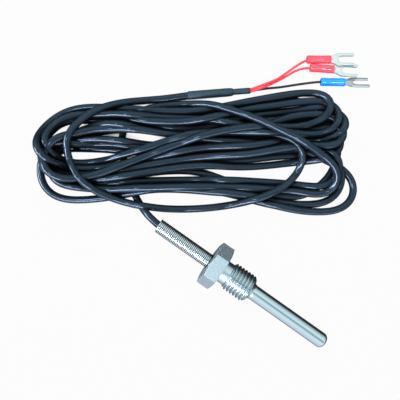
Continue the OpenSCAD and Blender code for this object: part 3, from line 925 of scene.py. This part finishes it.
MATERIALS = {
    "sheath_steel": metal("drawn stainless tube", (0.62, 0.74, 0.78), (0.7, 0.82, 0.86), (0.13, 0.18), DRAWN,
                          depth=1e-6),
    # Painted shade in the thread's valleys
    "fitting_steel": metal("machined stainless", (0.64, 0.74, 0.78), (0.74, 0.84, 0.88), (0.2, 0.34), ALONG,
                           crevice_shade=(0.0009, 0.1, 0.7)),
    "milled_steel": metal("milled stainless", (0.43, 0.51, 0.55), (0.47, 0.56, 0.6), (0.4, 0.5), ACROSS,
                          depth=6e-6, bare=0.88),
    # Painted shade between the spring's coils
    "spring_steel": metal("stainless spring wire", (0.8, 0.9, 0.9), (0.88, 0.96, 0.96), (0.14, 0.24), EVEN,
                          crevice_shade=(0.0012, 0.6, 0.98)),
    "ferrule_brass": metal("brass", (0.75, 0.55, 0.25), (0.82, 0.62, 0.3), (0.2, 0.32), EVEN),
    "fork_tin": metal("tinned copper", (0.74, 0.8, 0.79), (0.8, 0.86, 0.85), (0.26, 0.38), EVEN,
                      mottle_size=500.0, bare=0.88),
    "lead_wire": metal("nickel wire", (0.6, 0.6, 0.58), (0.72, 0.72, 0.7), (0.2, 0.3), EVEN),
    "solder": metal("solder", (0.5, 0.5, 0.5), (0.65, 0.65, 0.66), (0.3, 0.45), EVEN),
    "conductor_copper": metal("copper strands", (0.8, 0.4, 0.25), (0.9, 0.5, 0.33), (0.25, 0.38), EVEN),
    # Painted shade between the hank's turns
    "cable_jacket": plastic("black jacket", (0.004, 0.007, 0.01), (0.006, 0.01, 0.014), (0.13, 0.16),
                            depth=1e-7, gloss=0.58, tint=(0.48, 0.71, 1.0), crevice_shade=(0.004, 0.3, 0.95)),
    "shrink_sleeve": plastic("black shrink tubing", (0.008, 0.017, 0.025), (0.012, 0.023, 0.033),
                             (0.36, 0.46), depth=4e-6, tint=(0.6, 0.85, 1.0)),
    "wire_red": plastic("red wire", (0.58, 0.022, 0.04), (0.66, 0.03, 0.05), (0.28, 0.4)),
    "wire_black": plastic("black wire", (0.006, 0.006, 0.007), (0.012, 0.012, 0.014), (0.3, 0.42)),
    "insulation_red": plastic("red terminal vinyl", (0.6, 0.03, 0.048), (0.68, 0.045, 0.06), (0.1, 0.16),
                              depth=2e-6),
    "insulation_blue": plastic("blue terminal vinyl", (0.0, 0.12, 0.62), (0.0, 0.145, 0.7), (0.14, 0.22),
                               depth=2e-6),
    "element_ceramic": plastic("alumina", (0.8, 0.79, 0.74), (0.86, 0.85, 0.8), (0.5, 0.6)),
    "fill_powder": plastic("magnesia fill", (0.75, 0.72, 0.66), (0.85, 0.82, 0.76), (0.8, 0.95)),
    "potting_resin": plastic("potting resin", (0.02, 0.02, 0.022), (0.04, 0.04, 0.042), (0.2, 0.3)),
    "joint_sleeve": plastic("glass sleeving", (0.75, 0.72, 0.62), (0.84, 0.81, 0.72), (0.5, 0.65)),
}


def paint(piece, slot):
    """Gives the piece that slot's material and no other."""
    piece.data.materials.clear()
    piece.data.materials.append(MATERIALS[slot])


# ---------------------------------------------------------------- build

sheath = add_sheath()
hexagon = add_hexagon()
thread = add_shank()
for piece in (hexagon, thread):
    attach(place(piece, probe_axis), "root")
    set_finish(piece, "fitting_steel")
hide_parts("process_fitting")
spring = add_spring()
large_sleeve, small_sleeve = add_sleeves()
insulations = {name: add_insulation(name) for name in TERMINALS}
forks = {name: add_fork(name) for name in TERMINALS}

plastics = [cable, large_sleeve, small_sleeve, *insulations.values(), *(wire for wire, _ in wires.values())]
metals = [sheath, hexagon, thread, spring, *(piece for pair in forks.values() for piece in pair)]
for piece in [*plastics, *metals]:
    paint(piece, piece["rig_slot"])
paint(hexagon, "milled_steel")

# The solids that stay as they are, with their finishes
NODE_SLOTS = {
    "spring_ferrule": "ferrule_brass", "rtd_element": "element_ceramic", "thermal_fill": "fill_powder",
    "element_lead_red_side": "lead_wire", "element_lead_black_side": "lead_wire",
    "potting_plug": "potting_resin", "solder_joint_red": "solder", "solder_joint_black": "solder",
    "joint_sleeve_red": "joint_sleeve", "joint_sleeve_black": "joint_sleeve",
    "inner_wire_red_upper": "wire_red", "inner_wire_red_lower": "wire_red", "inner_wire_black": "wire_black",
    "conductor_red_upper": "conductor_copper", "conductor_red_lower": "conductor_copper",
    "conductor_black": "conductor_copper",
}
for name, slot in NODE_SLOTS.items():
    paint(nodes[name], slot)

# ---------------------------------------------------------------- studio

FLOOR_REACH = 2.0
FLOOR_GREY = (0.3, 0.3, 0.31, 1)
FLOOR_GLOW = 0.96
# Painted shade on the floor: near black where the hank's turns close it in
GAP_PAINTED_SHADE = (0.008, 0.006, 0.005, 1)
GAP_DEPTH = 0.009
GAP_CLOSED, GAP_OPEN = 0.06, 0.13


def add_floor():
    """A white table with painted shade, near black, in the hank's narrow gaps; metal mirrors the dome's lower
    half instead.
    """
    points = [(x * FLOOR_REACH, y * FLOOR_REACH, 0) for x, y in ((-1, -1), (1, -1), (1, 1), (-1, 1))]
    floor = add_mesh("floor", points, [(0, 1, 2, 3)])
    material, tree, shader = new_material("white floor")
    tree.nodes.remove(shader)
    path = add_node(tree, "ShaderNodeLightPath")
    lit = add_node(tree, "ShaderNodeBsdfDiffuse", {"Color": FLOOR_GREY})
    glow = add_node(tree, "ShaderNodeEmission", {"Color": (1, 1, 1, 1), "Strength": 1.0})
    seen = add_node(tree, "ShaderNodeMath", {0: path.outputs["Is Camera Ray"], 1: FLOOR_GLOW},
                    operation="MULTIPLY")
    direct = add_node(tree, "ShaderNodeMixShader",
                      {0: seen.outputs[0], 1: lit.outputs[0], 2: glow.outputs[0]})
    # Painted shade: the floor glows near black where the hank closes it in
    openness = add_node(tree, "ShaderNodeAmbientOcclusion", {"Distance": GAP_DEPTH}, samples=16)
    share = add_node(tree, "ShaderNodeMapRange",
                     {"Value": openness.outputs["AO"], "From Min": GAP_CLOSED, "From Max": GAP_OPEN})
    shade = add_node(tree, "ShaderNodeEmission", {"Color": GAP_PAINTED_SHADE})
    mix = add_node(tree, "ShaderNodeMixShader",
                   {0: share.outputs[0], 1: shade.outputs[0], 2: direct.outputs[0]})
    tree.links.new(mix.outputs[0], tree.nodes["Material Output"].inputs["Surface"])
    floor.data.materials.append(material)
    floor.visible_glossy = False


# The dome's colour by its angle from overhead, in degrees, negative on the near side; past 90 is the table's
DOME = (
    (-180, (0.027, 0.028, 0.03)), (-150, (0.2, 0.21, 0.23)), (-120, (0.46, 0.48, 0.53)),
    (-105, (0.64, 0.67, 0.74)), (-97, (0.81, 0.84, 0.92)), (-90, (0.72, 0.8, 0.95)), (-45, (0.92, 0.98, 1.0)),
    (-18, (0.8, 0.92, 0.97)), (-7, (0.34, 0.46, 0.52)), (7, (0.3, 0.42, 0.48)), (18, (0.8, 0.95, 0.98)),
    (38, (0.95, 1.0, 1.0)), (60, (0.6, 0.74, 0.78)), (78, (0.5, 0.6, 0.64)), (89, (0.1, 0.11, 0.12)),
    (105, (0.054, 0.055, 0.06)), (125, (0.018, 0.018, 0.02)), (180, (0.027, 0.028, 0.03)),
)


def add_world():
    """A pale dome with a darker band overhead between its lit halves, and dark low on the far side."""
    world = bpy.data.worlds.new("studio dome")
    bpy.context.scene.world = world
    world.use_nodes = True
    tree = world.node_tree
    tree.nodes.clear()
    toward = add_node(tree, "ShaderNodeTexCoord")
    axes = add_node(tree, "ShaderNodeSeparateXYZ", {0: toward.outputs["Generated"]})
    side = add_node(tree, "ShaderNodeMath", {0: axes.outputs["Y"], 1: axes.outputs["Z"]},
                    operation="ARCTAN2")
    ramp = add_node(tree, "ShaderNodeValToRGB")
    turn = add_node(tree, "ShaderNodeMapRange",
                    {"Value": side.outputs[0], "From Min": -math.pi, "From Max": math.pi})
    tree.links.new(turn.outputs["Result"], ramp.inputs["Fac"])
    stops = tuple((0.5 + degrees / 360, colour) for degrees, colour in DOME)
    elements = ramp.color_ramp.elements
    while len(elements) < len(stops):
        elements.new(1.0)
    for element, (at, colour) in zip(elements, stops):
        element.position = at
        element.color = (*colour, 1)
    dome = add_node(tree, "ShaderNodeBackground", {"Color": ramp.outputs["Color"], "Strength": 1.0})
    white = add_node(tree, "ShaderNodeBackground", {"Color": (1, 1, 1, 1), "Strength": 1.0})
    path = add_node(tree, "ShaderNodeLightPath")
    mix = add_node(tree, "ShaderNodeMixShader", {0: path.outputs["Is Camera Ray"], 1: dome.outputs[0],
                                                 2: white.outputs[0]})
    output = add_node(tree, "ShaderNodeOutputWorld")
    tree.links.new(mix.outputs[0], output.inputs["Surface"])


def add_lamp(name, at, toward, size, power, colour, mirrored):
    """An area lamp that the camera doesn't see."""
    data = bpy.data.lights.new(name, "AREA")
    data.shape = "RECTANGLE"
    data.size, data.size_y = size
    data.energy = power
    data.color = colour
    lamp = bpy.data.objects.new(name, data)
    lamp.location = at
    lamp.rotation_euler = (Vector(toward) - Vector(at)).to_track_quat("-Z", "Y").to_euler()
    lamp.visible_camera = False
    lamp.visible_glossy = mirrored
    bpy.context.scene.collection.objects.link(lamp)
    return lamp


def lights_only(lamp, pieces):
    """Keeps the lamp off everything but these pieces."""
    lit = bpy.data.collections.new(lamp.name + " lights")
    for piece in pieces:
        lit.objects.link(piece)
    lamp.light_linking.receiver_collection = lit


add_floor()
add_world()

# Each lamp: where it stands, what it faces, its size, power and colour, and whether surfaces mirror it
LAMPS = {
    "key strip": ((-0.09, -0.42, 0.36), (-0.09, 0.02, 0), (0.8, 0.07), 7.6, (1.0, 0.87, 0.92), True),
    "probe strip": ((-0.09, -0.42, 0.36), (-0.09, 0.02, 0), (0.8, 0.07), 4.6, (0.94, 0.97, 1.0), True),
    "left window": ((-0.5, -0.28, 0.22), (-0.08, 0.02, 0), (0.4, 0.14), 4.0, (0.9, 0.96, 1.0), True),
    "overhead patch": ((-0.142, -0.107, 0.5), (-0.05, 0.03, 0), (0.07, 0.07), 0.5, (0.9, 0.96, 1.0), True),
    "front strip": ((0.24, -0.376, 0.13), (-0.04, 0.02, 0), (0.8, 0.05), 1.4, (0.92, 0.94, 1.0), True),
    "back fill": ((-0.25, 0.31, 0.4), (-0.05, 0.03, 0), (0.4, 0.4), 3.5, (0.92, 0.97, 1.0), False),
    "pin spot": ((0.126, -0.016, 0.35), (-0.01, 0.08, 0), (0.03, 0.03), 0.45, (1.0, 1.0, 1.0), True),
}
lamps = {name: add_lamp(name, *values) for name, values in LAMPS.items()}
lights_only(lamps["key strip"], plastics)
lights_only(lamps["probe strip"], [thread, spring])
lights_only(lamps["left window"], [*plastics, hexagon])
lights_only(lamps["front strip"], [*plastics, hexagon])
lights_only(lamps["pin spot"], insulations.values())

bpy.context.scene.view_settings.view_transform = "Standard"

bpy.context.view_layer.update()
